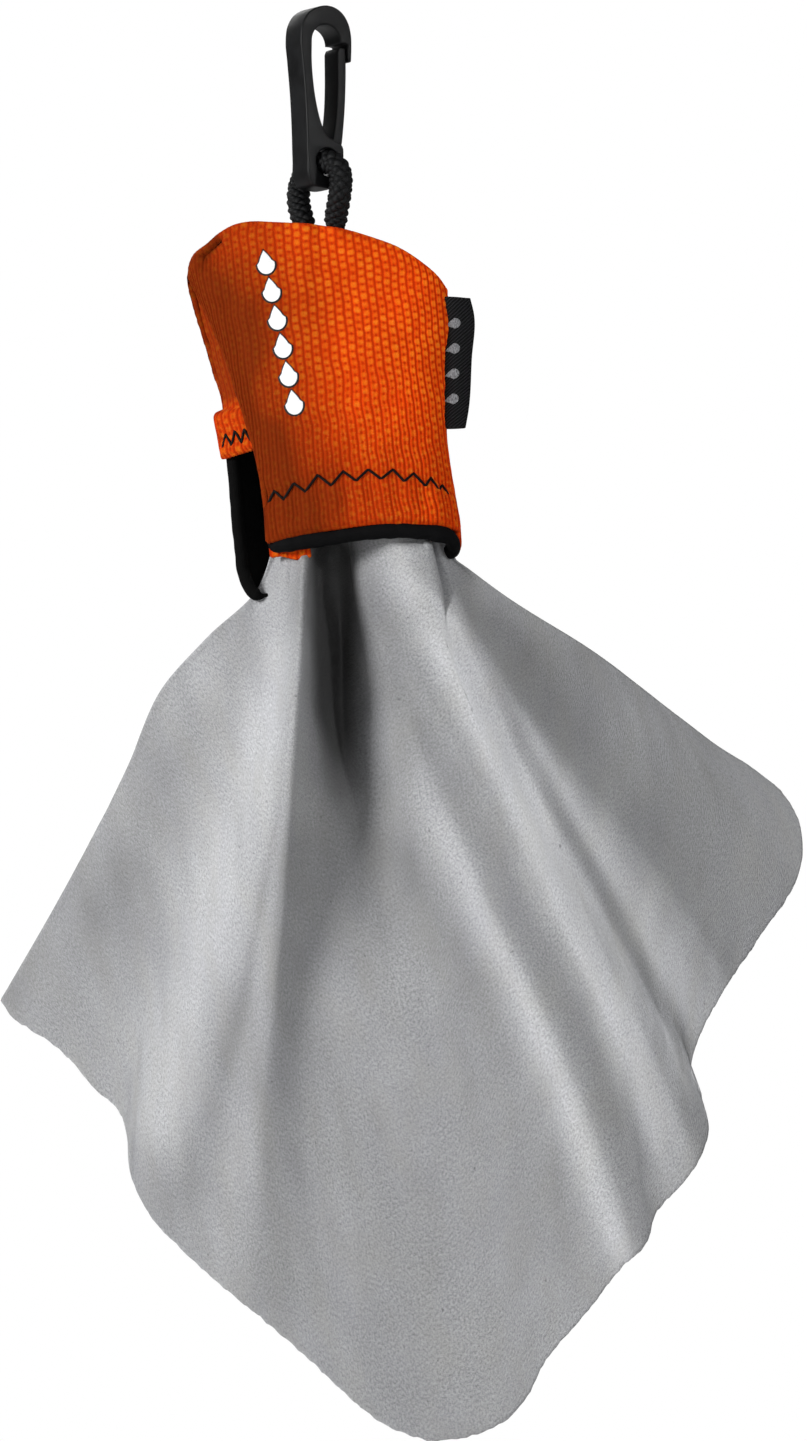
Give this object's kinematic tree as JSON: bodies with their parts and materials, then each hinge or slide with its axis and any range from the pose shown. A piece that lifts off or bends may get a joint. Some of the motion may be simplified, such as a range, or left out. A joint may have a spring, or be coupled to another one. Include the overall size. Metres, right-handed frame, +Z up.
{
  "type": "pocket quick-dry towel",
  "caption": "Pocket microfibre drying cloth sewn into a stretch pouch that it stuffs into, with a cord loop and a small plastic snap hook.",
  "frame": {"origin": "seat in the top of the hook's throat, where the ring or loop that carries the towel bears", "axes": "+Z up as it hangs, front of the pouch faces -Y, +X to the right seen from the front"},
  "size_m": [0.1458, 0.015, 0.259],
  "materials": {
    "hook_plastic": "satin moulded",
    "cord_black": "braided polyester",
    "knit_orange": "stretch basket knit",
    "lining_black": "smooth jersey",
    "binding_black": "rolled edge tape",
    "thread_black": "polyester thread",
    "label_black": "woven twill tape",
    "cloth_grey": "suede microfibre"
  },
  "bodies": {
    "clip": {"clip_body": "hook_plastic"},
    "gate": {"clip_gate": "hook_plastic"},
    "loop": {"cord_loop": "cord_black"},
    "pouch": {"front_panel": "knit_orange", "front_lining": "lining_black", "back_panel": "knit_orange", "back_lining": "lining_black", "side_gusset": "knit_orange", "side_gusset_lining": "lining_black", "mouth_binding": "binding_black", "top_seam_thread": "thread_black", "right_seam_thread": "thread_black", "front_hem_stitching": "thread_black", "back_hem_stitching": "thread_black", "gusset_hem_stitching": "thread_black", "side_label": "label_black", "cord_tails": "cord_black", "cord_bartack": "thread_black", "cloth_neck": "cloth_grey"},
    "cloth": {"cloth": "cloth_grey"}
  },
  "joints": [
    {"name": "gate_flex", "type": "hinge", "parent": "clip", "child": "gate", "pos_m": [0.00023, 0.00166, -0.02054], "axis": [0.5704, -0.8192, -0.06], "range_deg": [0, 12], "stiffness_Nm_per_rad": 0.25},
    {"name": "loop_swing", "type": "hinge", "parent": "clip", "child": "loop", "pos_m": [-0.00233, 0.0002, -0.02489], "axis": [0.5704, -0.8192, -0.06], "range_deg": [-40, 40]},
    {"name": "pouch_swing", "type": "hinge", "parent": "loop", "child": "pouch", "pos_m": [-0.00383, 0.0002, -0.03569], "axis": [1, 0, 0], "range_deg": [-50, 50]},
    {"name": "cloth_bend", "type": "hinge", "parent": "pouch", "child": "cloth", "pos_m": [-0.00333, 0.0002, -0.09589], "axis": [1, 0, 0], "range_deg": [-25, 7]}
  ]
}
